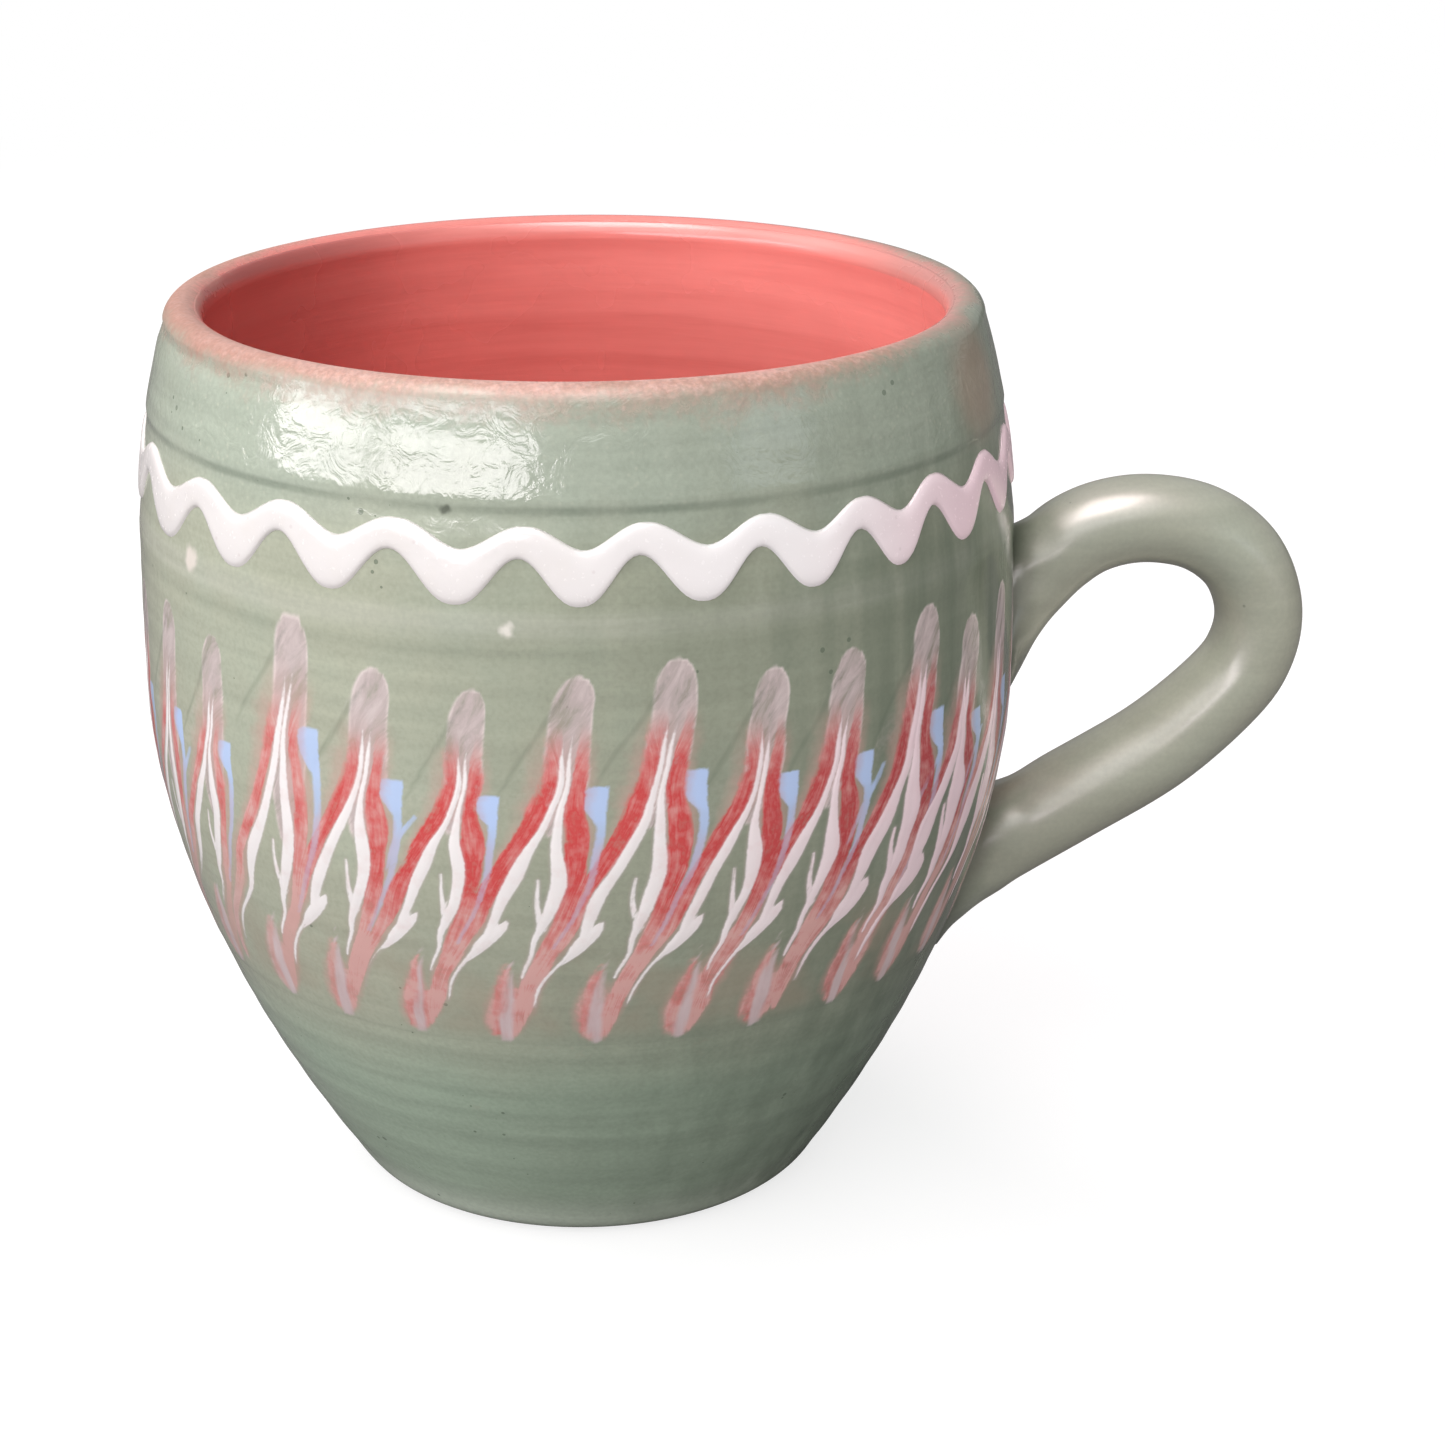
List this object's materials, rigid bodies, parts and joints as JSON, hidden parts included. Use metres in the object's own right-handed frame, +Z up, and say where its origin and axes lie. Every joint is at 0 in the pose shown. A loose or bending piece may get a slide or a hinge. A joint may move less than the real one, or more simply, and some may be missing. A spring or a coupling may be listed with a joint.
{
  "type": "barrel mug",
  "caption": "Hand-thrown earthenware barrel mug with a pulled ear handle, coral inside, trailed white wave and feathered slip band.",
  "frame": {"origin": "middle of the flat base, on the axis of the thrown body, where the mug stands", "axes": "+Z up the axis of the thrown body, +X from that axis towards the handle"},
  "size_m": [0.1224, 0.0904, 0.095],
  "materials": {
    "sage_glaze": "glossy sage-green slip under clear glaze, feathered in red, white and pale blue on the body",
    "coral_slip": "glossy coral-red slip under clear glaze",
    "white_slip": "trailed white slip under clear glaze"
  },
  "bodies": {
    "root": {"thrown_body": "sage_glaze", "pulled_handle": "sage_glaze", "upper_luting_coil": "sage_glaze", "lower_luting_coil": "sage_glaze", "coral_lining": "coral_slip", "white_wave_line": "white_slip"}
  },
  "joints": []
}
